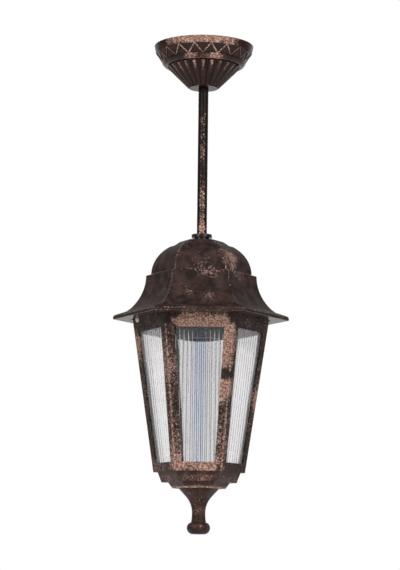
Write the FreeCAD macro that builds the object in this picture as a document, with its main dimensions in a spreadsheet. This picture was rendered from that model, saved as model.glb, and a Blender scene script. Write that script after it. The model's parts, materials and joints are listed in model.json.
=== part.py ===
import FreeCAD, Part
import math
import os
from types import SimpleNamespace

import Sketcher

# A six-sided garden lantern on a pipe stem under a round ceiling canopy, in millimetres.
# The ceiling is the plane z = 0, the stem's axis is Z, and the front pane faces -Y.

SIZES = {
    # ceiling canopy: plain rim, zigzag band, bead and a bell of lobes
    "canopy_rim_overhang": 6.05,
    "canopy_rim_land": 3.0,
    "canopy_height": 43.0,
    "canopy_wall": 3.4,
    "canopy_floor": 7.0,
    "rim_band_height": 7.0,
    "rim_band_taper": 1.6,
    "zigzag_band_height": 9.0,
    "zigzag_band_taper": 6.1,
    "zigzag_relief": 0.8,
    "zigzag_bar_width": 1.3,
    "zigzag_count": 18,
    "bead_height": 4.6,
    "bead_taper": 4.6,
    "bead_round": 5.0,
    "lobe_count": 24,
    "lobe_crest_inset": 1.7,
    "lobe_crest_drop": 1.4,
    "lobe_foot_radius": 15.8,
    "lobe_foot_rise": 0.6,
    "lobe_round": 4.2,
    "lobe_relief": 2.4,
    # ceiling bar inside the canopy
    "bar_length": 86.0,
    "bar_width": 20.0,
    "bar_thickness": 2.0,
    "bar_drop": 16.0,
    "bar_foot_length": 11.5,
    "bar_leg_run": 2.0,
    "bar_bend_round": 1.2,
    "slot_inset": 6.0,
    "slot_radius": 2.5,
    "slot_length": 8.0,
    # stem and what clamps it
    "stem_radius": 5.0,
    "stem_bore_radius": 4.0,
    "stem_shown": 150.3,
    "stem_spare": 1.0,
    "stem_tail": 49.5,
    "stem_clearance": 0.2,
    "collar_clearance": 0.1,
    "thread_clearance": 0.05,
    "nut_across_flats": 14.0,
    "nut_height": 5.0,
    "washer_radius": 9.0,
    "washer_thickness": 1.0,
    "collar_flange_radius": 10.3,
    "collar_flange_height": 3.2,
    "collar_neck_radius": 7.6,
    "collar_neck_height": 4.0,
    "lock_screw_radius": 2.0,
    "lock_screw_length": 11.0,
    # wiring in the canopy
    "block_clearance": 0.8,
    "block_width": 16.0,
    "block_height": 10.0,
    "block_offset": 13.5,
    "pole_offset": 4.0,
    "clamp_radius": 2.2,
    "clamp_bore_radius": 1.5,
    "clamp_end_gap": 0.5,
    "clamp_clearance": 0.05,
    "clamp_screw_radius": 1.2,
    "block_screw_radius": 1.25,
    "earth_screw_radius": 2.0,
    "earth_screw_offset": 18.0,
    "earth_screw_length": 10.0,
    "lead_radius": 0.9,
    "lead_offset": 1.6,
    "lead_bend": 2.6,
    "lead_reach": 10.0,
    "lead_grip": 3.5,
    # roof, sized at the corners of its hexagon
    "roof_cap_head_corner": 22.0,
    "roof_cap_foot_corner": 28.5,
    "roof_cap_height": 4.3,
    "roof_step_height": 0.7,
    "dome_head_corner": 32.0,
    "dome_foot_corner": 50.5,
    "dome_height": 28.5,
    "ledge_corner": 55.5,
    "ledge_height": 1.0,
    "flare_foot_corner": 70.5,
    "flare_height": 33.3,
    "brim_fold_corner": 75.0,
    "brim_fold_height": 3.1,
    "brim_corner": 88.0,
    "brim_height": 3.8,
    "brim_edge_slope": 1.2,
    "brim_edge_height": 4.3,
    "body_seat_depth": 2.5,
    "body_seat_clearance": 2.0,
    "roof_wall": 3.0,
    "roof_top_wall": 4.0,
    "skirt_height": 11.0,
    "skirt_wall": 2.5,
    "skirt_clearance": 0.3,
    "gasket_thickness": 1.5,
    # body frame, a tapered hexagonal cage
    "body_head_corner": 68.7,
    "body_foot_corner": 45.6,
    "body_height": 154.3,
    "body_wall": 6.5,
    "body_floor": 3.0,
    "body_corner_round": 1.6,
    "body_floor_hole": 12.0,
    "top_rail_height": 15.7,
    "bottom_rail_height": 8.6,
    "post_head_width": 9.0,
    "post_foot_width": 7.4,
    # panes, which stand in slots in the frame's walls
    "pane_plate": 2.1,
    "pane_rib_height": 0.9,
    "pane_rib_slope": 0.35,
    "pane_rib_pitch": 4.2,
    "pane_rib_gap": 0.1,
    "pane_side_grip": 3.0,
    "pane_foot_grip": 3.0,
    "pane_head_grip": 4.0,
    "pane_slot_lip": 1.8,
    "pane_clearance": 0.15,
    # base cup under the frame, in two steps
    "base_head_corner": 41.2,
    "base_step_corner": 37.3,
    "base_head_height": 10.0,
    "cup_head_corner": 30.6,
    "cup_foot_corner": 26.5,
    "cup_height": 5.7,
    "base_wall": 8.0,
    "base_floor": 3.0,
    # finial: a flared collar, a neck and a flattened ball
    "finial_head_radius": 20.0,
    "finial_shoulder_radius": 13.4,
    "finial_shoulder_drop": 7.2,
    "finial_neck_radius": 6.6,
    "finial_neck_drop": 16.6,
    "finial_ball_neck_radius": 7.4,
    "finial_ball_neck_drop": 9.2,
    "finial_ball_radius": 11.5,
    "finial_ball_rise": 5.4,
    "finial_ball_fall": 6.2,
    "finial_ball_foot_radius": 7.0,
    "finial_tip_drop": 0.3,
    # fasteners
    "screw_radius": 1.5,
    "screw_head_radius": 2.8,
    "screw_head_height": 2.0,
    "screw_clearance": 0.1,
    "roof_screw_inset": 10.8,
    "roof_screw_drop": 3.6,
    "roof_screw_spot": 0.6,
    "roof_screw_spot_clearance": 0.2,
    "roof_screw_length": 12.0,
    "base_screw_inset": 6.0,
    "base_screw_length": 10.0,
    "finial_screw_radius": 2.0,
    "finial_screw_length": 16.0,
    # lampholder
    "holder_radius": 20.0,
    "holder_rim_radius": 19.2,
    "holder_wall": 2.4,
    "holder_mouth_radius": 15.6,
    "holder_ledge_height": 24.0,
    "barrel_height": 34.0,
    "cap_rim_height": 4.0,
    "cap_dome_height": 11.0,
    "cap_neck_height": 9.0,
    "cap_neck_radius": 8.5,
    "core_height": 9.5,
    "core_clearance": 0.2,
    "shell_radius": 14.0,
    "shell_wall": 0.5,
    "shell_height": 21.0,
    "contact_radius": 3.5,
    "contact_height": 1.2,
    "holder_screw_offset": 9.0,
    "holder_screw_radius": 1.2,
    "holder_screw_length": 5.0,
}

SIDES = 6
FLAT = math.cos(math.pi / SIDES)
HALF_SIDE = math.sin(math.pi / SIDES)
DIAGONAL = math.sqrt(0.5)
UP = FreeCAD.Vector(0, 0, 1)
ACROSS = FreeCAD.Vector(1, 0, 0)
# A through cut is so many times as long as its wall, and a slab so many times as long as its form's reach
CUT_SPAN = 4
SLAB_SPAN = 3
# The flat top of a pan head, as a share of the head's radius
HEAD_CROWN = 2 / 3
# How near two points or directions are that count as the same
NEAR = 1e-4
FACE_ANGLES = {
    "front": 270,
    "front_right": 330,
    "back_right": 30,
    "back": 90,
    "back_left": 150,
    "front_left": 210,
}
ROOF_SCREW_FACES = (FACE_ANGLES["front_left"], FACE_ANGLES["back_right"])
BASE_SCREW_FACES = (FACE_ANGLES["back"], FACE_ANGLES["front_left"], FACE_ANGLES["front_right"])

doc = FreeCAD.newDocument("hexagonal_pendant_lantern")
sheet = doc.addObject("Spreadsheet::Sheet", "sizes")
for row, (alias, number) in enumerate(SIZES.items(), start=1):
    sheet.set(f"A{row}", alias)
    sheet.set(f"B{row}", str(number))
    sheet.setAlias(f"B{row}", alias)
doc.recompute()


class Size:
    """A length: its number now, and the expression that gives it from the sheet."""

    def __init__(self, value, text):
        self.value = value
        self.text = text

    def __add__(self, other):
        other = as_size(other)
        return Size(self.value + other.value, f"({self.text} + {other.text})")

    def __sub__(self, other):
        other = as_size(other)
        return Size(self.value - other.value, f"({self.text} - {other.text})")

    def __mul__(self, other):
        other = as_size(other)
        return Size(self.value * other.value, f"({self.text} * {other.text})")

    def __truediv__(self, other):
        other = as_size(other)
        return Size(self.value / other.value, f"({self.text} / {other.text})")

    def __neg__(self):
        return Size(-self.value, f"(0 - {self.text})")


def as_size(number):
    return number if isinstance(number, Size) else Size(float(number), repr(float(number)))


def root(size):
    return Size(math.sqrt(size.value), f"sqrt({size.text})")


def tangent_round(run, rise):
    """The radius of an arc that leaves along the rise and covers this run."""
    return (run * run + rise * rise) / (run * 2)


d = SimpleNamespace(**{alias: Size(float(getattr(sheet, alias)), f"sizes.{alias}") for alias in SIZES})

# Heights of the main pieces, from the ceiling down
bar_top = d.bar_thickness - d.bar_drop
stem_top = bar_top + d.washer_thickness + d.nut_height + d.stem_spare
canopy_foot = -d.canopy_height
roof_top = canopy_foot - d.stem_shown - d.collar_flange_height - d.collar_neck_height
roof_rise = d.brim_edge_height + d.brim_height + d.brim_fold_height + d.flare_height + d.ledge_height
roof_height = roof_rise + d.dome_height + d.roof_step_height + d.roof_cap_height
roof_foot = roof_top - roof_height
body_head = roof_foot + d.body_seat_depth
body_foot = body_head - d.body_height
base_height = d.base_head_height + d.cup_height
base_foot = body_foot - base_height
finial_ball_height = d.finial_tip_drop + d.finial_ball_fall + d.finial_ball_rise
finial_neck_height = finial_ball_height + d.finial_ball_neck_drop
finial_height = finial_neck_height + d.finial_neck_drop + d.finial_shoulder_drop
finial_foot = base_foot - finial_height
stem_foot = roof_top - d.stem_tail
barrel_head = stem_foot - d.cap_rim_height - d.cap_dome_height
barrel_foot = barrel_head - d.barrel_height
core_foot = barrel_foot + d.holder_ledge_height

# The slant of the body's faces: how far they lean out, their length, and the angle
face_run = (d.body_head_corner - d.body_foot_corner) * FLAT
face_length = root(d.body_height * d.body_height + face_run * face_run)
face_tilt = math.degrees(math.atan2(face_run.value, d.body_height.value))

# The ceiling bar's folds, half its slot spacing, and what takes its size from the bar
bar_half = d.bar_length / 2
bar_half_width = d.bar_width / 2
bar_reach = root(bar_half * bar_half + bar_half_width * bar_half_width)
bar_knee = bar_half - d.bar_foot_length
bar_plate = bar_knee - d.bar_leg_run
half_spacing = bar_half - d.slot_inset
canopy_rim_radius = bar_reach + d.canopy_rim_overhang
block_end = bar_plate - d.bar_thickness - d.bar_bend_round - d.block_clearance
block_length = block_end - d.block_offset
clamp_length = block_length - d.clamp_end_gap * 2

nodes = {}


def node(item, label):
    """Name a finished sub-part; its label is also its file's name."""
    item.Label = label
    nodes[label] = item
    return item


def bind(item, **sizes):
    for name, size in sizes.items():
        item.setExpression(name, as_size(size).text)
    return item


def put(item, x=0, y=0, z=0, turn=None):
    """Set an object's place by sizes, and its turn."""
    place = [as_size(x), as_size(y), as_size(z)]
    item.Placement = FreeCAD.Placement(
        FreeCAD.Vector(*(size.value for size in place)), turn or FreeCAD.Rotation()
    )
    for axis, size in zip("xyz", place):
        item.setExpression(f"Placement.Base.{axis}", size.text)
    return item


def arc_between(start, end, radius):
    """The short arc from start to end: anticlockwise for a positive radius, clockwise for a negative one."""
    chord = end - start
    across = FreeCAD.Vector(-chord.y, chord.x, 0).normalize()
    reach = math.sqrt(radius**2 - (chord.Length / 2) ** 2)
    centre = (start + end) * 0.5 + across * math.copysign(reach, radius)
    first, last = (start, end) if radius > 0 else (end, start)
    angles = [math.atan2(point.y - centre.y, point.x - centre.x) for point in (first, last)]
    if angles[1] < angles[0]:
        angles[1] += 2 * math.pi
    return Part.ArcOfCircle(Part.Circle(centre, UP, abs(radius)), *angles)


def draw(sketch, outline):
    """Close an outline through its corners. A corner is two sizes, x and y, and a third, the radius
    of the arc that arrives there: positive anticlockwise, negative clockwise."""
    ends = []
    for index, corner in enumerate(outline):
        before = outline[index - 1]
        start = FreeCAD.Vector(as_size(before[0]).value, as_size(before[1]).value, 0)
        end = FreeCAD.Vector(as_size(corner[0]).value, as_size(corner[1]).value, 0)
        if len(corner) == 2:
            sketch.addGeometry(Part.LineSegment(start, end))
            ends.append((1, 2))
            continue
        radius = corner[2]
        sketch.addGeometry(arc_between(start, end, radius.value))
        ends.append((1, 2) if radius.value > 0 else (2, 1))
        rule = sketch.addConstraint(Sketcher.Constraint("Radius", index, abs(radius.value)))
        sketch.setExpression(f"Constraints[{rule}]", f"abs({radius.text})")
    for index, corner in enumerate(outline):
        following = (index + 1) % len(outline)
        sketch.addConstraint(
            Sketcher.Constraint("Coincident", index, ends[index][1], following, ends[following][0])
        )
        for kind, axis, size in (("DistanceX", -2, corner[0]), ("DistanceY", -1, corner[1])):
            if isinstance(size, Size):
                rule = sketch.addConstraint(
                    Sketcher.Constraint(kind, -1, 1, index, ends[index][1], size.value)
                )
                sketch.setExpression(f"Constraints[{rule}]", size.text)
            else:
                sketch.addConstraint(Sketcher.Constraint("PointOnObject", index, ends[index][1], axis))
    return sketch


def plane_of(body, role):
    return next(item for item in body.Origin.OriginFeatures if item.Role == role)


def body_sketch(body, name, role, outline):
    sketch = body.newObject("Sketcher::SketchObject", name)
    sketch.AttachmentSupport = [(plane_of(body, role), "")]
    sketch.MapMode = "FlatFace"
    return draw(sketch, outline)


def add_turn(body, kind, name, outline):
    """A revolution or groove of an outline in the XZ plane about Z."""
    sketch = body_sketch(body, name + "_section", "XZ_Plane", outline)
    feature = body.newObject(f"PartDesign::{kind}", name)
    feature.Profile = sketch
    feature.ReferenceAxis = (sketch, ["V_Axis"])
    feature.Angle = 360
    return feature


def turned(label, outline, z=0):
    """A turned piece, with its outline measured up from its own foot."""
    body = doc.addObject("PartDesign::Body", label)
    add_turn(body, "Revolution", label + "_turn", outline)
    return put(body, z=z)


def pattern_round(body, name, originals, count):
    pattern = body.newObject("PartDesign::PolarPattern", name)
    pattern.Originals = originals
    pattern.Axis = (plane_of(body, "Z_Axis"), [""])
    pattern.Angle = 360
    bind(pattern, Occurrences=count)
    body.Tip = pattern
    return pattern


def cylinder(name, radius, height, x=0, y=0, z=0, turn=None):
    item = bind(doc.addObject("Part::Cylinder", name), Radius=radius, Height=height)
    return put(item, x, y, z, turn)


def prism(name, corner, height, z=0):
    item = doc.addObject("Part::Prism", name)
    item.Polygon = SIDES
    bind(item, Circumradius=corner, Height=height)
    return put(item, z=z)


def through(wall, middle):
    """A length that passes a wall with room to spare, and where it starts."""
    length = wall * CUT_SPAN
    return length, as_size(middle) - length / 2


def cut(name, base, tool):
    item = doc.addObject("Part::Cut", name)
    item.Base = base
    item.Tool = tool
    return item


def fuse(name, shapes):
    item = doc.addObject("Part::MultiFuse", name)
    item.Shapes = shapes
    return item


def group(name, items):
    item = doc.addObject("Part::Compound", name)
    item.Links = items
    return item


def ring(label, outer, inner, height, z):
    hole = cylinder(label + "_hole", inner, height, z=z)
    return cut(label, cylinder(label + "_blank", outer, height, z=z), hole)


def hex_turned(name, half_outline):
    """A hexagonal solid with the same half outline on all six sides, measured at the flats."""
    corners = list(half_outline)
    mirrored = []
    for index in range(len(corners) - 1, -1, -1):
        x, y = corners[index][:2]
        rounding = corners[index + 1][2:] if index + 1 < len(corners) else ()
        mirrored.append((-x, y, *rounding))
    outline = doc.addObject("Sketcher::SketchObject", name + "_outline")
    draw(outline, corners + mirrored)
    outline.Placement = FreeCAD.Placement(FreeCAD.Vector(), FreeCAD.Rotation(1, 1, 1, 1))
    reach = max((corner[0] for corner in corners), key=lambda size: size.value)
    slabs = []
    for turn in range(SIDES // 2):
        slab = doc.addObject("Part::Extrusion", f"{name}_slab_{turn}")
        slab.Base = outline
        slab.DirMode = "Custom"
        slab.Dir = ACROSS
        slab.Solid = True
        slab.Symmetric = True
        bind(slab, LengthFwd=reach * SLAB_SPAN)
        slab.Placement = FreeCAD.Placement(FreeCAD.Vector(), FreeCAD.Rotation(UP, 360 / SIDES * turn))
        slabs.append(slab)
    solid = doc.addObject("Part::MultiCommon", name)
    solid.Shapes = slabs
    return solid


def face_turn(angle, tilt=0):
    """Local X along a face, local Y up it and local Z out of it."""
    upright = FreeCAD.Rotation(UP, angle + 90) * FreeCAD.Rotation(ACROSS, 90)
    return upright * FreeCAD.Rotation(ACROSS, tilt)


def at_flat(size):
    return size * FLAT


def body_corner(height):
    """The body frame's corner radius at a height above its foot."""
    return d.body_foot_corner + (d.body_head_corner - d.body_foot_corner) * height / d.body_height


def on_face(angle, out, along):
    """Where a point lies that is so far out towards a face and so far along it."""
    across = math.cos(math.radians(angle))
    deep = math.sin(math.radians(angle))
    return out * across - along * deep, out * deep + along * across


def make_canopy():
    """A cast bell: lobes and zigzag ribs stand on a turned form, hollowed from above."""
    zigzag_head_z = d.canopy_height - d.rim_band_height
    bead_head_z = zigzag_head_z - d.zigzag_band_height
    bead_foot_z = bead_head_z - d.bead_height
    rim_foot_radius = canopy_rim_radius - d.rim_band_taper
    bead_head_radius = rim_foot_radius - d.zigzag_band_taper
    bead_foot_radius = bead_head_radius - d.bead_taper
    lobe_crest_radius = bead_foot_radius - d.lobe_crest_inset
    lobe_head_z = bead_foot_z - d.lobe_crest_drop
    ground_foot = d.lobe_foot_rise * 2
    floor_radius = d.lobe_foot_radius - ground_foot
    lobe_ground = d.lobe_relief * DIAGONAL
    ground_inset = lobe_ground * 2

    body = doc.addObject("PartDesign::Body", "ceiling_canopy")
    outer = [
        (0, 0),
        (floor_radius, 0),
        (floor_radius, ground_foot),
        (lobe_crest_radius - lobe_ground, lobe_head_z + lobe_ground),
        (bead_foot_radius, bead_foot_z),
        (bead_head_radius, bead_head_z, d.bead_round),
        (bead_head_radius - d.zigzag_relief, bead_head_z),
        (rim_foot_radius - d.zigzag_relief, zigzag_head_z),
        (rim_foot_radius, zigzag_head_z),
        (canopy_rim_radius, d.canopy_height),
        (0, d.canopy_height),
    ]
    add_turn(body, "Revolution", "canopy_form", outer)

    lobe_foot_round = d.lobe_round * d.lobe_foot_radius / lobe_crest_radius
    slimming = (d.lobe_round - lobe_foot_round) * DIAGONAL
    run = lobe_crest_radius - d.lobe_foot_radius - slimming
    rise = lobe_head_z - d.lobe_foot_rise + slimming
    lobe = body.newObject("PartDesign::AdditiveCone", "lobe")
    bind(lobe, Radius1=d.lobe_round, Radius2=lobe_foot_round, Height=root(run * run + rise * rise))
    put(
        lobe,
        x=lobe_crest_radius - d.lobe_round * DIAGONAL,
        z=lobe_head_z + d.lobe_round * DIAGONAL,
        turn=FreeCAD.Rotation(UP, FreeCAD.Vector(-run.value, 0, -rise.value)),
    )
    pattern_round(body, "lobes", [lobe], d.lobe_count)

    half_step = math.pi / d.zigzag_count.value
    rib_head = FreeCAD.Vector(rim_foot_radius.value, 0, zigzag_head_z.value)
    rib_depth = d.zigzag_relief * 2
    rib_run = rim_foot_radius - bead_head_radius * math.cos(half_step)
    rib_swing = bead_head_radius * math.sin(half_step)
    rib_length = root(rib_run * rib_run + rib_swing * rib_swing + d.zigzag_band_height * d.zigzag_band_height)
    outward = FreeCAD.Vector(d.zigzag_band_height.value, 0, -d.zigzag_band_taper.value)
    for side, hand in ((-1, "left"), (1, "right")):
        along = FreeCAD.Vector(-rib_run.value, side * rib_swing.value, -d.zigzag_band_height.value)
        rib = body.newObject("PartDesign::AdditiveBox", f"zigzag_rib_{hand}")
        bind(rib, Length=rib_length, Width=d.zigzag_bar_width, Height=rib_depth)
        turn = FreeCAD.Rotation(along, FreeCAD.Vector(), outward, "XZY")
        corner = FreeCAD.Vector(0, -d.zigzag_bar_width.value / 2, -rib_depth.value)
        rib.Placement = FreeCAD.Placement(rib_head + turn.multVec(corner), turn)
        pattern_round(body, f"zigzag_ribs_{hand}", [rib], d.zigzag_count)

    bore = d.stem_radius + d.stem_clearance
    hollow_foot = d.lobe_foot_radius + d.canopy_floor - d.canopy_wall - ground_inset
    hollow = [
        (0, 0),
        (bore, 0),
        (bore, d.canopy_floor),
        (hollow_foot, d.canopy_floor),
        (lobe_crest_radius - ground_inset - d.canopy_wall, lobe_head_z),
        (bead_head_radius - d.canopy_wall, bead_head_z),
        (rim_foot_radius - d.canopy_wall, zigzag_head_z),
        (canopy_rim_radius - d.canopy_rim_land, d.canopy_height),
        (0, d.canopy_height),
    ]
    add_turn(body, "Groove", "canopy_hollow", hollow)

    hole = body.newObject("PartDesign::SubtractiveCylinder", "lock_screw_hole")
    bind(hole, Radius=d.lock_screw_radius + d.screw_clearance, Height=canopy_rim_radius)
    put(hole, z=d.canopy_floor / 2, turn=FreeCAD.Rotation(ACROSS, -90))
    return node(put(body, z=canopy_foot), "ceiling_canopy")


def edges_at(shape, places, along):
    """Names of the edges along a direction that pass through any of these points."""
    found = []
    for index, edge in enumerate(shape.Edges, start=1):
        way = edge.Vertexes[-1].Point - edge.Vertexes[0].Point
        if way.Length < NEAR or way.normalize().cross(along).Length > NEAR:
            continue
        if any(edge.distToShape(Part.Vertex(place))[0] < NEAR for place in places):
            found.append(f"Edge{index}")
    return found


def make_ceiling_bar():
    """A folded strap: two slotted feet on the ceiling and a dropped plate that carries the stem."""
    thick = d.bar_thickness
    drop = d.bar_drop
    right = [
        (bar_plate, -drop),
        (bar_knee, -thick),
        (bar_half, -thick),
        (bar_half, 0),
        (bar_knee - thick, 0),
        (bar_plate - thick, thick - drop),
    ]
    body = doc.addObject("PartDesign::Body", "ceiling_bar")
    outline = right + [(-x, z) for x, z in reversed(right)]
    strap = body.newObject("PartDesign::Pad", "strap")
    strap.Profile = body_sketch(body, "strap_section", "XZ_Plane", outline)
    strap.SideType = "Symmetric"
    bind(strap, Length=d.bar_width)
    doc.recompute()
    bends = []
    for x, z in right[:2] + right[-2:]:
        for side in (-1, 1):
            bends.append(FreeCAD.Vector(side * x.value, 0, as_size(z).value))
    folds = body.newObject("PartDesign::Fillet", "folds")
    folds.Base = (strap, edges_at(strap.Shape, bends, FreeCAD.Vector(0, 1, 0)))
    bind(folds, Radius=d.bar_bend_round)

    reach = (d.slot_length - d.slot_radius * 2) / 2
    for side, name in ((-1, "left_slot"), (1, "right_slot")):
        near = half_spacing - reach
        far = half_spacing + reach
        slot_outline = [
            (near * side, -d.slot_radius),
            (far * side, -d.slot_radius),
            (far * side, d.slot_radius),
            (near * side, d.slot_radius),
        ]
        slot = body.newObject("PartDesign::Pocket", name)
        slot.Profile = body_sketch(body, name + "_outline", "XY_Plane", slot_outline)
        slot.SideType = "Symmetric"
        length, start = through(thick, 0)
        bind(slot, Length=length)
        for end in (near, far):
            round_end = body.newObject("PartDesign::SubtractiveCylinder", name + "_end")
            bind(round_end, Radius=d.slot_radius, Height=length)
            put(round_end, x=end * side, z=start)
    holes = {
        "stem_hole": (d.stem_radius + d.stem_clearance, 0),
        "earth_hole": (d.earth_screw_radius + d.screw_clearance, -d.earth_screw_offset),
        "block_hole": (d.block_screw_radius + d.screw_clearance, d.block_offset + block_length / 2),
    }
    for name, (radius, x) in holes.items():
        hole = body.newObject("PartDesign::SubtractiveCylinder", name)
        length, start = through(thick, thick / 2 - drop)
        bind(hole, Radius=radius, Height=length)
        put(hole, x=x, z=start)
    return node(body, "ceiling_bar")


def make_nut(label, z):
    blank = prism(label + "_blank", d.nut_across_flats / 2 / FLAT, d.nut_height, z=z)
    bore = cylinder(label + "_bore", d.stem_radius + d.thread_clearance, d.nut_height, z=z)
    return node(cut(label, blank, bore), label)


def make_stem():
    length = stem_top - stem_foot
    tube = ring("stem_tube", d.stem_radius, d.stem_bore_radius, length, stem_foot)
    node(tube, "stem_tube")
    bore = d.stem_radius + d.collar_clearance
    collar = [
        (bore, 0),
        (d.collar_neck_radius, 0),
        (d.collar_neck_radius, d.collar_neck_height),
        (d.collar_flange_radius, d.collar_neck_height),
        (d.collar_flange_radius, d.collar_neck_height + d.collar_flange_height),
        (bore, d.collar_neck_height + d.collar_flange_height),
    ]
    node(turned("stem_collar", collar, roof_top), "stem_collar")
    washer_bore = d.stem_radius + d.stem_clearance
    washer = ring("stem_washer", d.washer_radius, washer_bore, d.washer_thickness, bar_top)
    node(washer, "stem_washer")
    make_nut("stem_top_nut", bar_top + d.washer_thickness)
    make_nut("stem_lock_nut", -d.bar_drop - d.nut_height)
    screw = cylinder(
        "canopy_lock_screw",
        d.lock_screw_radius,
        d.lock_screw_length,
        y=d.stem_radius,
        z=canopy_foot + d.canopy_floor / 2,
        turn=FreeCAD.Rotation(ACROSS, -90),
    )
    node(screw, "canopy_lock_screw")


def make_terminals():
    """A two-pole block on the bar, its brass clamps and screws, and the bar's earth screw."""
    along_x = FreeCAD.Rotation(FreeCAD.Vector(0, 1, 0), 90)
    pole_z = bar_top + d.block_height / 2
    middle = d.block_offset + block_length / 2
    blank = bind(
        doc.addObject("Part::Box", "block_blank"),
        Length=block_length,
        Width=d.block_width,
        Height=d.block_height,
    )
    put(blank, d.block_offset, -d.block_width / 2, bar_top)
    screw_bore = d.block_screw_radius + d.screw_clearance
    holes = [cylinder("block_screw_hole", screw_bore, d.block_height, x=middle, z=bar_top)]
    clamps = []
    screws = []
    clamp_x = middle - clamp_length / 2
    screw_spacing = clamp_length / 2
    well_radius = d.clamp_screw_radius + d.clamp_clearance
    well_depth = d.block_height / 2
    for side, pole in ((-1, "neutral"), (1, "live")):
        y = d.pole_offset * side
        bore = d.clamp_radius + d.clamp_clearance
        holes.append(cylinder(f"{pole}_hole", bore, block_length, d.block_offset, y, pole_z, along_x))
        tube = cylinder(f"{pole}_clamp_blank", d.clamp_radius, clamp_length, clamp_x, y, pole_z, along_x)
        bores = [
            cylinder(f"{pole}_clamp_bore", d.clamp_bore_radius, clamp_length, clamp_x, y, pole_z, along_x)
        ]
        for end in (-1, 1):
            x = middle + screw_spacing / 2 * end
            well = cylinder(f"{pole}_well", well_radius, well_depth, x, y, pole_z)
            holes.append(well)
            bores.append(well)
            length = well_depth - d.lead_radius
            screws.append(
                cylinder(f"{pole}_screw", d.clamp_screw_radius, length, x, y, pole_z + d.lead_radius)
            )
        clamps.append(cut(f"{pole}_clamp", tube, fuse(f"{pole}_clamp_bores", bores)))
    node(cut("terminal_block", blank, fuse("block_holes", holes)), "terminal_block")
    node(group("terminal_clamps", clamps), "terminal_clamps")
    node(group("terminal_screws", screws), "terminal_screws")
    shank = d.block_height + d.bar_thickness
    pan_screw("terminal_block_screw", d.block_screw_radius, shank, middle, bar_top + d.block_height)
    pan_screw("earth_screw", d.earth_screw_radius, d.earth_screw_length, -d.earth_screw_offset, bar_top)


def screw_head(radius):
    return radius * d.screw_head_radius / d.screw_radius


def screw_outline(radius, length):
    """A pan-head screw standing on its point, with its head's seat at the shank's full length."""
    head = screw_head(radius)
    crown = head * HEAD_CROWN
    return [
        (0, 0),
        (radius, 0),
        (radius, length),
        (head, length),
        (crown, length + d.screw_head_height, tangent_round(head - crown, d.screw_head_height)),
        (0, length + d.screw_head_height),
    ]


def pan_screw(label, radius, length, x, seat_z):
    body = turned(label, screw_outline(radius, length))
    return node(put(body, x=x, z=seat_z - length), label)


def copy_at(name, source, x, y, z, turn=None):
    """The same solid again, at another place."""
    return put(group(name, [source]), x, y, z, turn)


def make_leads():
    """Two insulated leads from the lampholder's screws, up the stem and over into the terminal block."""
    core_head = core_foot + d.core_height
    low_z = (core_head + d.lead_radius).value
    bend = d.lead_bend.value
    over_z = (stem_top + d.lead_radius).value + bend
    pole_z = (bar_top + d.block_height / 2).value
    for side, label in ((-1, "neutral_lead"), (1, "live_lead")):
        y = d.lead_offset.value * side
        start = (d.holder_screw_offset - screw_head(d.holder_screw_radius)).value * side
        pole_y = d.pole_offset.value * side
        far_x = (d.block_offset + d.lead_grip).value
        slope = math.atan2(pole_y - y, far_x)
        way = FreeCAD.Vector(math.cos(slope), math.sin(slope), 0)
        foot = FreeCAD.Vector(0, y, low_z)
        top = FreeCAD.Vector(0, y, over_z - bend)
        route = [
            FreeCAD.Vector(0, start, low_z),
            foot,
            top + UP * bend,
            top + UP * bend + way * d.lead_reach.value,
            FreeCAD.Vector(0, y, pole_z) + way * d.lead_reach.value,
            FreeCAD.Vector(0, y, pole_z) + way * (far_x / math.cos(slope)),
        ]
        path = bent_path(route, bend)
        section = Part.Wire(Part.Circle(route[0], route[1] - route[0], d.lead_radius.value).toShape())
        lead = doc.addObject("Part::Feature", label)
        lead.Shape = path.makePipeShell([section], True, False)
        node(lead, label)


def bent_path(route, bend):
    """Straight runs through the route's points, with a tangent arc of one radius at each turn."""
    edges = []
    start = route[0]
    for before, point, after in zip(route, route[1:], route[2:]):
        come = (point - before).normalize()
        leave = (after - point).normalize()
        half_turn = come.getAngle(leave) / 2
        trim = bend * math.tan(half_turn)
        arc_start = point - come * trim
        arc_end = point + leave * trim
        inner = (leave - come).normalize()
        middle = point + inner * (bend / math.cos(half_turn) - bend)
        if (arc_start - start).Length > NEAR:
            edges.append(Part.LineSegment(start, arc_start).toShape())
        edges.append(Part.Arc(arc_start, middle, arc_end).toShape())
        start = arc_end
    edges.append(Part.LineSegment(start, route[-1]).toShape())
    return Part.Wire(edges)


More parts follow.
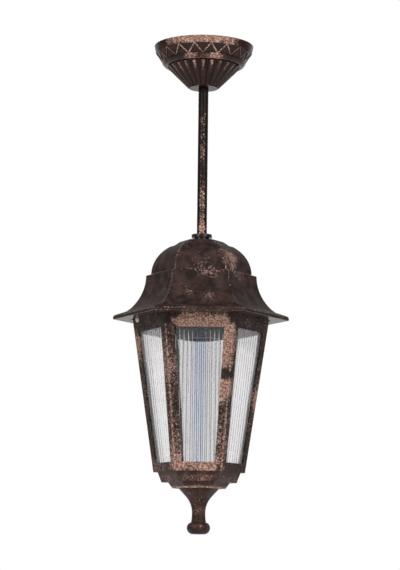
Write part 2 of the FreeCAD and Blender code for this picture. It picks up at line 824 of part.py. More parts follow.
def make_roof():
    """One hexagonal casting: cap, dome, ledge and flare over a brim, with a skirt inside the body."""
    fold_z = d.brim_edge_height + d.brim_height
    flare_foot_z = fold_z + d.brim_fold_height
    flare_head_z = flare_foot_z + d.flare_height
    dome_foot_z = flare_head_z + d.ledge_height
    dome_head_z = dome_foot_z + d.dome_height
    cap_foot_z = dome_head_z + d.roof_step_height
    flare_run = at_flat(d.flare_foot_corner - d.ledge_corner)
    dome_run = at_flat(d.dome_foot_corner - d.dome_head_corner)
    flare_round = tangent_round(flare_run, d.flare_height)
    dome_round = tangent_round(dome_run, d.dome_height)
    outer = [
        (at_flat(d.brim_corner), 0),
        (at_flat(d.brim_corner), d.brim_edge_height - d.brim_edge_slope),
        (at_flat(d.brim_corner) - d.brim_edge_slope, d.brim_edge_height),
        (at_flat(d.brim_fold_corner), fold_z),
        (at_flat(d.flare_foot_corner), flare_foot_z),
        (at_flat(d.ledge_corner), flare_head_z, -flare_round),
        (at_flat(d.dome_foot_corner), dome_foot_z),
        (at_flat(d.dome_head_corner), dome_head_z, dome_round),
        (at_flat(d.roof_cap_foot_corner), cap_foot_z),
        (at_flat(d.roof_cap_head_corner), roof_height),
    ]
    form = put(hex_turned("roof_form", outer), z=roof_foot)

    skirt_foot = body_head - d.skirt_height
    body_inside = body_corner(d.body_height - d.skirt_height) - d.body_wall / FLAT
    skirt_corner = body_inside - d.skirt_clearance / FLAT
    seat_corner = d.body_head_corner + d.body_seat_clearance
    seat = prism("body_seat", seat_corner, d.body_seat_depth, z=roof_foot)
    shell = cut("roof_shell", form, seat)
    skirt = prism("roof_skirt", skirt_corner, d.skirt_height, z=skirt_foot)
    blank = fuse("roof_blank", [shell, skirt])

    skirt_inside = at_flat(skirt_corner) - d.skirt_wall
    local_foot = skirt_foot - roof_foot
    hollow = [
        (skirt_inside, local_foot),
        (skirt_inside, flare_foot_z + d.roof_wall),
        (at_flat(d.ledge_corner) - d.roof_wall, flare_head_z - d.roof_wall),
        (at_flat(d.dome_foot_corner) - d.roof_wall, flare_head_z - d.roof_wall),
        (at_flat(d.dome_foot_corner) - d.roof_wall, dome_foot_z - d.roof_wall),
        (at_flat(d.dome_head_corner) - d.roof_wall, dome_head_z - d.roof_wall, dome_round),
        (at_flat(d.roof_cap_head_corner), roof_height - d.roof_top_wall),
    ]
    cavity = put(hex_turned("roof_hollow", hollow), z=roof_foot)
    length, start = through(d.roof_top_wall, roof_top - d.roof_top_wall / 2)
    stem_hole = cylinder("roof_stem_hole", d.stem_radius + d.stem_clearance, length, z=start)
    holes = [cavity, stem_hole] + roof_screw_holes("roof_screw_pilot")
    node(cut("roof", blank, fuse("roof_cuts", holes)), "roof")


def roof_screw_seat():
    """How far out and along its face, and how high, a roof screw's head sits."""
    corner = body_corner(d.body_height - d.roof_screw_drop)
    out = at_flat(corner) - d.roof_screw_spot
    return out, d.roof_screw_inset - corner * HALF_SIDE, body_head - d.roof_screw_drop


def roof_screw_holes(name):
    out, along, z = roof_screw_seat()
    depth = d.roof_screw_length + d.body_wall
    radius = d.screw_radius + d.screw_clearance
    holes = []
    for angle in ROOF_SCREW_FACES:
        x, y = on_face(angle, out - depth, along)
        holes.append(cylinder(f"{name}_{angle}", radius, depth, x, y, z, face_turn(angle)))
    return holes


def make_roof_screws():
    form = turned("roof_screw_form", screw_outline(d.screw_radius, d.roof_screw_length))
    out, along, z = roof_screw_seat()
    screws = []
    for angle in ROOF_SCREW_FACES:
        x, y = on_face(angle, out - d.roof_screw_length, along)
        screws.append(copy_at(f"roof_screw_{angle}", form, x, y, z, face_turn(angle)))
    node(group("roof_screws", screws), "roof_screws")


def hex_taper(name, low_corner, low_z, high_corner, high_z):
    """A hexagonal block with straight slanted sides."""
    rims = []
    for rim, corner, z in (("foot", low_corner, low_z), ("head", high_corner, high_z)):
        polygon = doc.addObject("Part::RegularPolygon", f"{name}_{rim}")
        polygon.Polygon = SIDES
        bind(polygon, Circumradius=corner)
        rims.append(put(polygon, z=z))
    block = doc.addObject("Part::Loft", name)
    block.Sections = rims
    block.Solid = True
    block.Ruled = True
    return block


def wedge(name, low, high, low_half, high_half, inner, outer):
    """A plate that widens upwards: X along a face, Y up it and Z out of it."""
    item = doc.addObject("Part::Wedge", name)
    bind(item, Xmin=-low_half, Xmax=low_half, X2min=-high_half, X2max=high_half)
    return bind(item, Ymin=low, Ymax=high, Zmin=inner, Zmax=outer, Z2min=inner, Z2max=outer)


# The window in each face, by its lower and upper edges and their half widths
window_low = d.bottom_rail_height
window_high = d.body_height - d.top_rail_height
window_low_half = body_corner(window_low) * HALF_SIDE - d.post_foot_width
window_high_half = body_corner(window_high) * HALF_SIDE - d.post_head_width

# The pane behind it, measured up the slant of the face
slant = face_length / d.body_height
pane_spread = (window_high_half - window_low_half) / ((window_high - window_low) * slant)
pane_low = window_low * slant - d.pane_foot_grip
pane_height = window_high * slant + d.pane_head_grip - pane_low
pane_thickness = d.pane_plate + d.pane_rib_height
pane_low_half = window_low_half + d.pane_side_grip - pane_spread * d.pane_foot_grip
pane_high_half = pane_low_half + pane_spread * pane_height


def make_body_frame():
    """A cast cage: six posts, two rails and a floor, with a slot for a pane inside each wall."""
    blank = hex_taper("body_blank", d.body_foot_corner, body_foot, d.body_head_corner, body_head)
    doc.recompute()
    rounding = doc.addObject("Part::Fillet", "body_rounded")
    rounding.Base = blank
    rounding.Edges = [
        (index, d.body_corner_round.value, d.body_corner_round.value)
        for index, edge in enumerate(blank.Shape.Edges, start=1)
        if abs(edge.Vertexes[0].Z - edge.Vertexes[1].Z) > d.body_height.value / 2
    ]
    wall = d.body_wall / FLAT
    over = d.body_height + d.body_wall
    inside = hex_taper(
        "body_inside",
        body_corner(d.body_floor) - wall,
        body_foot + d.body_floor,
        body_corner(over) - wall,
        body_foot + over,
    )
    length, start = through(d.body_floor, body_foot + d.body_floor / 2)
    floor_hole = cylinder("body_floor_hole", d.body_floor_hole, length, z=start)
    cuts = [inside, floor_hole] + roof_screw_holes("body_screw_hole") + base_screw_holes("body_base_hole")
    out, along, screw_z = roof_screw_seat()
    spot = screw_head(d.screw_radius) + d.roof_screw_spot_clearance
    for angle in ROOF_SCREW_FACES:
        x, y = on_face(angle, out, along)
        cuts.append(cylinder(f"spot_face_{angle}", spot, d.body_wall, x, y, screw_z, face_turn(angle)))
    reach = at_flat(d.body_head_corner) + d.body_wall
    gap = d.pane_clearance
    slot_top = face_length - pane_low + d.body_wall
    slot_low_half = pane_low_half + gap
    slot_high_half = slot_low_half + pane_spread * slot_top
    for face, angle in FACE_ANGLES.items():
        opening = wedge(
            f"window_{face}", window_low, window_high, window_low_half, window_high_half, 0, reach
        )
        cuts.append(put(opening, z=body_foot, turn=face_turn(angle)))
        slot = wedge(
            f"slot_{face}", 0, slot_top, slot_low_half, slot_high_half, -gap, pane_thickness + gap
        )
        cuts.append(put(slot, *pane_place(angle), face_turn(angle, face_tilt)))
    node(cut("body_frame", rounding, fuse("body_cuts", cuts)), "body_frame")


def pane_place(angle):
    """The middle of a pane's inner foot edge."""
    depth = d.pane_slot_lip + d.pane_clearance + pane_thickness
    lean = face_run / face_length
    rise = d.body_height / face_length
    out = at_flat(d.body_foot_corner) - depth * rise + pane_low * lean
    x, y = on_face(angle, out, 0)
    return x, y, body_foot + depth * lean + pane_low * rise


def make_panes():
    """Six sheets with flat ribs and narrow flutes between, cut to the windows' taper from one form."""
    body = doc.addObject("PartDesign::Body", "pane_sheet")
    edge = pane_high_half + d.pane_side_grip
    sheet_outline = [
        (-edge, 0),
        (edge, 0),
        (edge, d.pane_plate),
        (-edge, d.pane_plate),
    ]
    plate = body.newObject("PartDesign::Pad", "pane_plate_pad")
    plate.Profile = body_sketch(body, "pane_plate_section", "XZ_Plane", sheet_outline)
    plate.Reversed = True
    bind(plate, Length=pane_height)
    rib_count = int(2 * pane_high_half.value / d.pane_rib_pitch.value)
    first = d.pane_rib_pitch * ((1 - rib_count) / 2)
    half_rib = (d.pane_rib_pitch - d.pane_rib_gap) / 2
    half_flat = half_rib - d.pane_rib_slope
    rib = body.newObject("PartDesign::Pad", "pane_rib")
    rib_outline = [
        (first - half_rib, d.pane_plate),
        (first + half_rib, d.pane_plate),
        (first + half_flat, pane_thickness),
        (first - half_flat, pane_thickness),
    ]
    rib.Profile = body_sketch(body, "pane_rib_section", "XZ_Plane", rib_outline)
    rib.Reversed = True
    bind(rib, Length=pane_height)
    ribs = body.newObject("PartDesign::LinearPattern", "pane_ribs")
    ribs.Originals = [rib]
    ribs.Direction = (plane_of(body, "X_Axis"), [""])
    ribs.Occurrences = rib_count
    bind(ribs, Length=d.pane_rib_pitch * (rib_count - 1))
    body.Tip = ribs
    trim = wedge("pane_trim", 0, pane_height, pane_low_half, pane_high_half, 0, pane_thickness)
    form = doc.addObject("Part::MultiCommon", "pane_form")
    form.Shapes = [body, trim]
    for face, angle in FACE_ANGLES.items():
        pane = copy_at(f"pane_{face}", form, *pane_place(angle), face_turn(angle, face_tilt))
        node(pane, f"pane_{face}")


def base_screw_places():
    out = at_flat(d.base_head_corner) - d.base_screw_inset
    return {angle: on_face(angle, out, 0) for angle in BASE_SCREW_FACES}


def base_screw_holes(name):
    radius = d.screw_radius + d.screw_clearance
    depth = d.base_screw_length + d.screw_radius
    low = body_foot + d.body_floor - depth
    holes = []
    for angle, (x, y) in base_screw_places().items():
        holes.append(cylinder(f"{name}_{angle}", radius, depth + d.screw_head_height, x, y, low))
    return holes


def make_base():
    """The stepped cup that closes the frame's foot, with its three screws from inside."""
    step_z = d.cup_height
    outer = [
        (at_flat(d.cup_foot_corner), 0),
        (at_flat(d.cup_head_corner), step_z),
        (at_flat(d.base_step_corner), step_z),
        (at_flat(d.base_head_corner), base_height),
    ]
    floor = d.base_floor
    hollow = [
        (at_flat(d.cup_foot_corner) - d.base_wall, floor),
        (at_flat(d.base_head_corner) - d.base_wall, base_height),
    ]
    blank = put(hex_turned("base_form", outer), z=base_foot)
    cavity = put(hex_turned("base_hollow", hollow), z=base_foot)
    radius = d.finial_screw_radius + d.screw_clearance
    length, start = through(floor, base_foot + floor / 2)
    hole = cylinder("base_finial_hole", radius, length, z=start)
    cuts = fuse("base_cuts", [cavity, hole] + base_screw_holes("base_pilot"))
    node(cut("base_cup", blank, cuts), "base_cup")

    form = turned("base_screw_form", screw_outline(d.screw_radius, d.base_screw_length))
    screws = []
    for angle, (x, y) in base_screw_places().items():
        z = body_foot + d.body_floor - d.base_screw_length
        screws.append(copy_at(f"base_screw_{angle}", form, x, y, z))
    node(group("base_screws", screws), "base_screws")


def make_finial():
    """A turned drop: flared collar, neck and flattened ball, held by a screw from inside the cup."""
    ball_foot = d.finial_ball_foot_radius
    equator_z = d.finial_tip_drop + d.finial_ball_fall
    neck = d.finial_neck_radius
    shoulder_z = finial_neck_height + d.finial_neck_drop
    ball_neck = d.finial_ball_neck_radius
    outline = [
        (0, 0),
        (ball_foot, d.finial_tip_drop, tangent_round(d.finial_tip_drop, ball_foot)),
        (
            d.finial_ball_radius,
            equator_z,
            tangent_round(d.finial_ball_radius - ball_foot, d.finial_ball_fall),
        ),
        (ball_neck, finial_ball_height, tangent_round(d.finial_ball_radius - ball_neck, d.finial_ball_rise)),
        (neck, finial_neck_height, -tangent_round(ball_neck - neck, d.finial_ball_neck_drop)),
        (
            d.finial_shoulder_radius,
            shoulder_z,
            -tangent_round(d.finial_shoulder_radius - neck, d.finial_neck_drop),
        ),
        (d.finial_head_radius, finial_height),
        (0, finial_height),
    ]
    body = turned("finial", outline, finial_foot)
    hole = body.newObject("PartDesign::SubtractiveCylinder", "finial_thread")
    depth = d.finial_screw_length
    bind(hole, Radius=d.finial_screw_radius + d.screw_clearance, Height=depth)
    put(hole, z=finial_height - depth)
    node(body, "finial")
    pan_screw("finial_screw", d.finial_screw_radius, d.finial_screw_length, 0, base_foot + d.base_floor)


def make_roof_clamp():
    """A gasket, washer and nut draw the roof up against the stem's collar."""
    gasket_z = roof_top - d.roof_top_wall - d.gasket_thickness
    bore = d.stem_radius + d.stem_clearance
    node(ring("roof_gasket", d.washer_radius, bore, d.gasket_thickness, gasket_z), "roof_gasket")
    washer_z = gasket_z - d.washer_thickness
    node(ring("roof_washer", d.washer_radius, bore, d.washer_thickness, washer_z), "roof_washer")
    make_nut("roof_nut", washer_z - d.nut_height)


def make_lampholder():
    """A moulded cap and barrel around a ceramic core, with a screw shell and a centre contact."""
    dome_z = d.cap_rim_height + d.cap_dome_height
    neck_z = dome_z + d.cap_neck_height
    bore = d.stem_radius + d.thread_clearance
    inside = d.holder_radius - d.holder_wall
    stop_z = dome_z - d.holder_wall
    dome_round = tangent_round(d.holder_radius - d.cap_neck_radius, d.cap_dome_height)
    cap = [
        (inside, 0),
        (d.holder_radius, 0),
        (d.holder_radius, d.cap_rim_height),
        (d.cap_neck_radius, dome_z, dome_round),
        (d.cap_neck_radius, neck_z),
        (bore, neck_z),
        (bore, dome_z),
        (d.stem_bore_radius, dome_z),
        (d.stem_bore_radius, stop_z),
        (inside, d.cap_rim_height),
    ]
    node(turned("lampholder_cap", cap, barrel_head), "lampholder_cap")
    barrel = [
        (d.holder_mouth_radius, 0),
        (d.holder_rim_radius, 0),
        (d.holder_radius, d.barrel_height),
        (inside, d.barrel_height),
        (inside, d.holder_ledge_height),
        (d.holder_mouth_radius, d.holder_ledge_height),
    ]
    node(turned("lampholder_barrel", barrel, barrel_foot), "lampholder_barrel")

    disc = cylinder("core_disc", inside - d.core_clearance, d.core_height, z=core_foot)
    core_head = core_foot + d.core_height
    form = turned("holder_screw_form", screw_outline(d.holder_screw_radius, d.holder_screw_length))
    wells = []
    screws = []
    for side, pole in ((-1, "neutral"), (1, "live")):
        y = d.holder_screw_offset * side
        z = core_head - d.holder_screw_length
        radius = d.holder_screw_radius + d.screw_clearance
        wells.append(cylinder(f"{pole}_core_well", radius, d.core_height, y=y, z=z))
        screws.append(copy_at(f"{pole}_holder_screw", form, 0, y, z))
    node(cut("lampholder_core", disc, fuse("core_wells", wells)), "lampholder_core")
    node(group("lampholder_terminal_screws", screws), "lampholder_terminal_screws")
    shell_z = core_foot - d.shell_height
    shell = ring("lampholder_shell", d.shell_radius, d.shell_radius - d.shell_wall, d.shell_height, shell_z)
    node(shell, "lampholder_shell")
    contact_z = core_foot - d.contact_height
    contact = cylinder("lampholder_contact", d.contact_radius, d.contact_height, z=contact_z)
    node(contact, "lampholder_contact")


def check_and_write():
    """Stop on any failed object or solid; otherwise write each sub-part's solids."""
    doc.recompute()
    for item in doc.Objects:
        if "Invalid" in item.State or "Error" in item.State:
            raise RuntimeError(f"{item.Name} failed: {item.State}")
    for label, item in nodes.items():
        if item.Shape.isNull() or not item.Shape.isValid() or not item.Shape.Solids:
            raise RuntimeError(f"{label} has no valid solid")
    os.makedirs("parts", exist_ok=True)
    for label, item in nodes.items():
        item.Shape.exportStep(f"parts/{label}.step")
        print(f"{label}: {len(item.Shape.Solids)} solids, {item.Shape.Volume:.1f} mm3")


make_canopy()
make_ceiling_bar()
make_stem()
make_terminals()
make_roof()
make_roof_clamp()
make_lampholder()
make_leads()
make_body_frame()
make_panes()
make_roof_screws()
make_base()
make_finial()
check_and_write()
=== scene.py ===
import json
import math

import bpy
from mathutils import Matrix, Vector

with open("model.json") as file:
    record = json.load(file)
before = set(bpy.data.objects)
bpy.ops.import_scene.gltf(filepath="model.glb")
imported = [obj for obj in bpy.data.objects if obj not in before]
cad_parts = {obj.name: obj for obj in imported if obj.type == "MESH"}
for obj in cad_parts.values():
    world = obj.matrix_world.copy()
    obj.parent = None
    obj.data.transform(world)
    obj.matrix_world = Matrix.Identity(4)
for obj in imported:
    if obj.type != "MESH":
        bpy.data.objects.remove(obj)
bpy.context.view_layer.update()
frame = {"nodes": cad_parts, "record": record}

nodes = frame["nodes"]
MM = 0.001
SMOOTH = {"interpolation_type": "SMOOTHSTEP"}
COLOUR = {"data_type": "RGBA"}

# The copper paint's tones, and the amounts of it at which it starts to show and covers everything
COPPER_DULL = "#7c5747"
COPPER_BRIGHT = "#deb9ab"
COPPER_STARTS = 0.6
COPPER_COVERS = 0.94
COPPER_METALLIC = 0.4
COPPER_ROUGHNESS = 0.42
ENAMEL_ROUGHNESS = 0.22
# How far a dab's outline wanders, in millimetres
WANDER = 24
# An edge that bends by more than this is sharp
SHARP_BEND = math.radians(28)

# The canopy's outside down from the ceiling, over its raised parts: height and radius in millimetres,
# and their copper
CANOPY_LINE = [
    (0, 50.2, 0.02),
    (-7, 48.6, 0.04),
    (-7.2, 48.46, 0.2),
    (-15.8, 42.64, 0.2),
    (-16, 42.5, 0.06),
    (-20.6, 37.9, 0.06),
    (-22, 36.2, 0.26),
    (-30, 28.2, 0.1),
    (-42.4, 15.8, 0.02),
]

# Where the sponge was pressed, or missed, some with painted highlight and some with painted shade, as marked
# below: a place and its reach in millimetres, and its strength
CANOPY_DABS_AND_SHEEN = [
    # The six in front, on the rim and the bead, are partly copper and partly a painted highlight, the sheen
    # along the front; the two at the back are copper
    ((-27, -42, -2), 16, 0.4),
    ((-9, -49, -2), 17, 0.5),
    ((10, -49, -2), 17, 0.52),
    ((28, -41, -2), 16, 0.5),
    ((-11, -38, -19), 15, 0.36),
    ((10, -38, -19), 15, 0.4),
    ((-40, 26, -5), 20, 0.3),
    ((34, 34, -8), 22, 0.3),
]
STEM_DABS = [
    ((1, -5, -192), 22, 0.4),
    ((2, -5, -152), 32, 0.12),
    ((2, -5, -106), 36, 0.13),
    ((3, -5, -76), 16, 0.17),
    ((0, 5, -165), 30, 0.22),
]
ROOF_DABS = [
    ((34, -34, -214), 22, 0.3),
    ((40, -38, -228), 20, 0.26),
    ((8, -48, -236), 16, 0.2),
    ((-14, -58, -257), 18, 0.16),
    ((10, -60, -260), 18, 0.14),
    ((-40, 40, -245), 20, 0.25),
    ((44, 36, -252), 18, 0.25),
]
BODY_DABS_AND_SHADE = [
    ((-13, -58, -287), 16, 0.46),
    ((0, -58, -287), 14, 0.4),
    ((13, -58, -287), 16, 0.46),
    # These two take copper away at the tops of the two front corner posts, just under the brim: painted shade
    ((-34, -58, -283), 13, -0.4),
    ((35, -60, -283), 13, -0.5),
    ((25, -62, -300), 20, 0.75),
    ((23, -60, -320), 21, 0.75),
    ((28, -51, -337), 11, -0.2),
    ((21, -56, -351), 20, 0.75),
    ((25, -44, -378), 18, 0.08),
    ((23, -42, -402), 20, 0.09),
    ((12, -40, -427), 18, 0.42),
    ((-4, -40, -428), 13, 0.26),
    ((-20, -40, -424), 16, 0.42),
    ((-32, -52, -330), 26, 0.16),
    ((-21, -47, -405), 22, 0.16),
    ((-62, 0, -305), 24, 0.26),
    ((0, 56, -286), 22, 0.3),
    ((-30, 50, -340), 24, 0.3),
    ((28, 44, -400), 24, 0.3),
    ((56, 0, -360), 24, 0.2),
]
BASE_DABS = [
    ((0, -34, -436), 24, 0.06),
    ((4, -25, -446), 16, 0.06),
    ((20, 26, -438), 18, 0.22),
]
FINIAL_DABS = [
    ((4, -7, -470), 5, 0.2),
    ((0, -11, -486), 8, 0.08),
    ((-8, 10, -458), 10, 0.16),
]

# Copper rubbed along the base's foot, partly a painted highlight along its edge, and painted shade under the
# body's foot and under the upper step: a height and its reach in millimetres, and its strength
BASE_BANDS_SHEEN_AND_SHADE = [
    # Along the foot's edge: copper and a painted highlight
    (-446.5, 1.4, 0.5),
    # Under the upper step and under the body's foot: painted shade
    (-442.6, 2.6, -0.3),
    (-432, 4, -0.4),
]

# Where a casting's edges are rounded: from a low to a high height, outside a least radius, in millimetres
ROOF_EDGES = [(-280, -274, 65), (-274, -200, 19)]
BASE_EDGES = [(-441, -433, 35), (-448, -441, 22)]


def linear(code):
    """An sRGB hex colour as linear light."""
    parts = [int(code[i:i + 2], 16) / 255 for i in (1, 3, 5)]
    return [c / 12.92 if c <= 0.04045 else ((c + 0.055) / 1.055) ** 2.4 for c in parts] + [1.0]


def per(size_mm):
    """The texture scale at which one grain of a pattern is this many millimetres."""
    return 1 / (size_mm * MM)


def add(tree, kind, inputs=None, **settings):
    """Add a node with its settings. An input is a value, or the node or socket that it comes from.

    Some sockets go by number. In Map Range, 0 is the value, 1 and 2 are its range, and 3 and 4 the
    result's. In Mix, 0 is the factor, and the two ends are 2 and 3 for numbers, 6 and 7 for colours.
    """
    node = tree.nodes.new(kind)
    for name, value in settings.items():
        setattr(node, name, value)
    for socket, value in (inputs or {}).items():
        if isinstance(value, bpy.types.Node):
            value = next(out for out in value.outputs if out.enabled)
        if isinstance(value, bpy.types.NodeSocket):
            tree.links.new(value, node.inputs[socket])
        else:
            node.inputs[socket].default_value = value
    return node


def new_material(name):
    """A material with an empty tree, and the place on its object that its patterns follow."""
    material = bpy.data.materials.new(name)
    material.use_nodes = True
    tree = material.node_tree
    tree.nodes.clear()
    return material, tree, add(tree, "ShaderNodeTexCoord").outputs["Object"]


def from_axis(tree, place):
    """The distance from the lantern's upright axis."""
    flat = add(tree, "ShaderNodeVectorMath", {0: place, 1: (1, 1, 0)}, operation="MULTIPLY")
    return add(tree, "ShaderNodeVectorMath", {0: flat}, operation="LENGTH")


def raised_copper(tree, place, line):
    """The copper on ribs and lobes that reach a turned outline, and its lack on the ground inside it."""
    rib_depth, ground_depth, ground_lack = 0.15 * MM, 0.8 * MM, -0.5
    deepest, widest = line[-1][0], line[0][1]
    height = add(tree, "ShaderNodeSeparateXYZ", {0: place}).outputs["Z"]
    down = add(tree, "ShaderNodeMath", {0: height, 1: deepest * MM}, operation="DIVIDE")
    outline = add(tree, "ShaderNodeValToRGB", {0: down})
    stops = outline.color_ramp.elements
    while len(stops) < len(line):
        stops.new(1.0)
    for stop, (level, reach, copper) in zip(stops, line):
        stop.position = level / deepest
        stop.color = (reach / widest, copper, 0, 1)
    share = add(tree, "ShaderNodeSeparateColor", {0: outline})
    edge = add(tree, "ShaderNodeMath", {0: share.outputs[0], 1: widest * MM}, operation="MULTIPLY")
    inside = add(tree, "ShaderNodeMath", {0: edge, 1: from_axis(tree, place)}, operation="SUBTRACT")
    return add(
        tree,
        "ShaderNodeMapRange",
        {0: inside, 1: ground_depth, 2: rib_depth, 3: ground_lack, 4: share.outputs[1]},
        **SMOOTH,
    )


def corner_copper_and_highlight(tree, place, most):
    """The copper rubbed onto the hexagon's six corners, up to a most at the corner itself, which also stands
    as a painted highlight along them.
    """
    full, reach = 0.4 * MM, 1.6 * MM
    at = add(tree, "ShaderNodeSeparateXYZ", {0: place})
    turn = add(tree, "ShaderNodeMath", {0: at.outputs["Y"], 1: at.outputs["X"]}, operation="ARCTAN2")
    off = add(tree, "ShaderNodeMath", {0: turn, 1: math.pi / 6}, operation="PINGPONG")
    away = add(tree, "ShaderNodeMath", {0: off, 1: from_axis(tree, place)}, operation="MULTIPLY")
    return add(tree, "ShaderNodeMapRange", {0: away, 1: reach, 2: full, 4: most}, **SMOOTH)


def band_copper_and_shade(tree, place, height, reach, most):
    """The copper along one height, up to a most at the height itself: rubbed copper, some of it a painted
    highlight, and painted shade where the most is below zero.
    """
    level = add(tree, "ShaderNodeSeparateXYZ", {0: place}).outputs["Z"]
    off = add(tree, "ShaderNodeMath", {0: level, 1: height * MM}, operation="SUBTRACT")
    away = add(tree, "ShaderNodeMath", {0: off}, operation="ABSOLUTE")
    return add(tree, "ShaderNodeMapRange", {0: away, 1: reach * MM, 2: 0.0, 4: most}, **SMOOTH)


def copper_rubbed_enamel(
    name,
    level,
    dabs=(),
    dark="#241a17",
    brown="#3b2c28",
    grit=1.0,
    gloss=0.3,
    satin=ENAMEL_ROUGHNESS,
    line=None,
    corners=0.0,
    bands=(),
    side_shade=0.0,
):
    """Cast aluminium, or the steel stem, in brown-black enamel, with copper paint dabbed on by sponge.

    The eye sees a dark mottled coat, slightly pebbled, that mirrors the white room only at a grazing
    look. Dusty copper flecks of about a millimetre gather into clouds, and cover almost all of the
    metal where the sponge was pressed.

    level: how much copper there is everywhere
    dabs: ragged patches with more copper, or less
    dark, brown: the two tones of the enamel
    grit: how sharply the copper breaks into flecks
    gloss: how strongly the enamel mirrors
    satin: its roughness, except where it faces down and keeps its shine
    line: an outline whose raised parts take copper, as in CANOPY_LINE
    corners: the copper on the six corners, also a painted highlight along them
    bands: heights with more copper, some of it a painted highlight, and heights with less, which is painted
    shade
    side_shade: painted shade, less copper on what faces left and right, where a round stem turns from the
    light; a plus value adds copper there
    """
    material, tree, place = new_material(name)
    clouds = add(tree, "ShaderNodeTexNoise", {"Vector": place, "Scale": per(26), "Roughness": 0.55})
    mottle = add(
        tree, "ShaderNodeTexNoise", {"Vector": place, "Scale": per(9), "Detail": 3.0, "Roughness": 0.6}
    )
    flecks = add(
        tree, "ShaderNodeTexNoise", {"Vector": place, "Scale": per(1.7), "Detail": 3.0, "Roughness": 0.65}
    )
    pebbles = add(tree, "ShaderNodeTexNoise", {"Vector": place, "Scale": per(1.2)})

    patches = add(
        tree, "ShaderNodeTexNoise", {"Vector": place, "Scale": per(14), "Detail": 3.0, "Roughness": 0.6}
    )
    ragged = add(
        tree,
        "ShaderNodeVectorMath",
        {0: patches.outputs["Color"], 1: [WANDER * MM] * 3, 2: place},
        operation="MULTIPLY_ADD",
    )
    spread = {0: clouds, 1: 0.42, 2: 0.72, 3: level, 4: level + 0.1}
    amount = add(tree, "ShaderNodeMapRange", spread, **SMOOTH)
    parts = []
    for centre, reach, strength in dabs:
        shifted = [(c + WANDER / 2) * MM for c in centre]
        away = add(tree, "ShaderNodeVectorMath", {0: ragged, 1: shifted}, operation="DISTANCE")
        parts.append(add(tree, "ShaderNodeMapRange", {0: away, 1: reach * MM, 2: 0.0, 4: strength}, **SMOOTH))
    if line:
        parts.append(raised_copper(tree, place, line))
    # Copper on the six corners, partly a painted highlight along them
    if corners:
        parts.append(corner_copper_and_highlight(tree, place, corners))
    # Bands of copper and painted highlight, and of painted shade
    for height, reach, most in bands:
        parts.append(band_copper_and_shade(tree, place, height, reach, most))
    facing = add(tree, "ShaderNodeSeparateXYZ", {0: add(tree, "ShaderNodeTexCoord").outputs["Normal"]})
    # Painted shade: less copper, so a darker coat, on what faces left and right
    if side_shade:
        turned = add(tree, "ShaderNodeMath", {0: facing.outputs["X"]}, operation="ABSOLUTE")
        parts.append(add(tree, "ShaderNodeMapRange", {0: turned, 1: 0.35, 2: 0.85, 4: side_shade}, **SMOOTH))
    parts.append(add(tree, "ShaderNodeMapRange", {0: flecks, 3: 0.5 - grit / 2, 4: 0.5 + grit / 2}))
    for part in parts:
        amount = add(tree, "ShaderNodeMath", {0: amount, 1: part}, operation="ADD")
    shown = add(tree, "ShaderNodeMapRange", {0: amount, 1: COPPER_STARTS, 2: COPPER_COVERS}, **SMOOTH)

    browning = add(tree, "ShaderNodeMapRange", {0: mottle, 1: 0.35, 2: 0.7}, **SMOOTH)
    enamel = add(tree, "ShaderNodeMix", {0: browning, 6: linear(dark), 7: linear(brown)}, **COLOUR)
    shine = add(tree, "ShaderNodeMapRange", {0: flecks, 1: 0.4, 2: 0.7}, **SMOOTH)
    copper = add(
        tree, "ShaderNodeMix", {0: shine, 6: linear(COPPER_DULL), 7: linear(COPPER_BRIGHT)}, **COLOUR
    )
    relief = add(tree, "ShaderNodeMath", {0: shown, 1: 0.35, 2: pebbles}, operation="MULTIPLY_ADD")
    # What faces down was never rubbed, so it keeps the enamel's shine
    rubbing = {0: facing.outputs["Z"], 1: -0.9, 2: -0.6, 3: ENAMEL_ROUGHNESS, 4: satin}
    bare = add(tree, "ShaderNodeMapRange", rubbing)
    shader = add(
        tree,
        "ShaderNodeBsdfPrincipled",
        {
            "Base Color": add(tree, "ShaderNodeMix", {0: shown, 6: enamel, 7: copper}, **COLOUR),
            "Metallic": add(tree, "ShaderNodeMapRange", {0: shown, 4: COPPER_METALLIC}),
            "Roughness": add(tree, "ShaderNodeMapRange", {0: shown, 3: bare, 4: COPPER_ROUGHNESS}),
            "Specular IOR Level": gloss,
            "Normal": add(tree, "ShaderNodeBump", {"Height": relief, "Strength": 0.2, "Distance": 0.2 * MM}),
        },
    )
    add(tree, "ShaderNodeOutputMaterial", {"Surface": shader})
    return material


def pressed_fluted_glass(name, body, sky_reflection, clear=0.97):
    """Clear pressed glass with a faint milky skin, a little wavy between its flutes.

    It shows the white room behind it as a soft grey-white, and the flutes as dark upright lines. The
    second colour is a painted reflection of a blue sky down the centre of the sheet, weaker at its foot.
    Clear is the share of the light that goes through, and the rest meets the milky skin.
    """
    reflection_edge, reflection_core = 9 * MM, 3 * MM
    foot, head, foot_share = -430 * MM, -370 * MM, 0.3
    material, tree, place = new_material(name)
    waves = add(
        tree, "ShaderNodeTexNoise", {"Vector": place, "Scale": per(11), "Detail": 1.0, "Roughness": 0.4}
    )
    at = add(tree, "ShaderNodeSeparateXYZ", {0: place})
    out = add(tree, "ShaderNodeMath", {0: at.outputs["X"]}, operation="ABSOLUTE")
    most = add(tree, "ShaderNodeMapRange", {0: at.outputs["Z"], 1: foot, 2: head, 3: foot_share})
    # Painted reflection of a blue sky down the centre of the sheet, weaker at its foot
    painted_reflection = add(tree, "ShaderNodeMapRange", {0: out, 1: reflection_edge, 2: reflection_core, 4: most}, **SMOOTH)
    shader = add(
        tree,
        "ShaderNodeBsdfPrincipled",
        {
            "Base Color": add(tree, "ShaderNodeMix", {0: painted_reflection, 6: linear(body), 7: linear(sky_reflection)}, **COLOUR),
            "Transmission Weight": clear,
            "Roughness": add(tree, "ShaderNodeMapRange", {0: waves, 1: 0.3, 2: 0.7, 3: 0.02, 4: 0.05}),
            "Normal": add(tree, "ShaderNodeBump", {"Height": waves, "Strength": 0.1, "Distance": 0.2 * MM}),
        },
    )
    add(tree, "ShaderNodeOutputMaterial", {"Surface": shader})
    return material


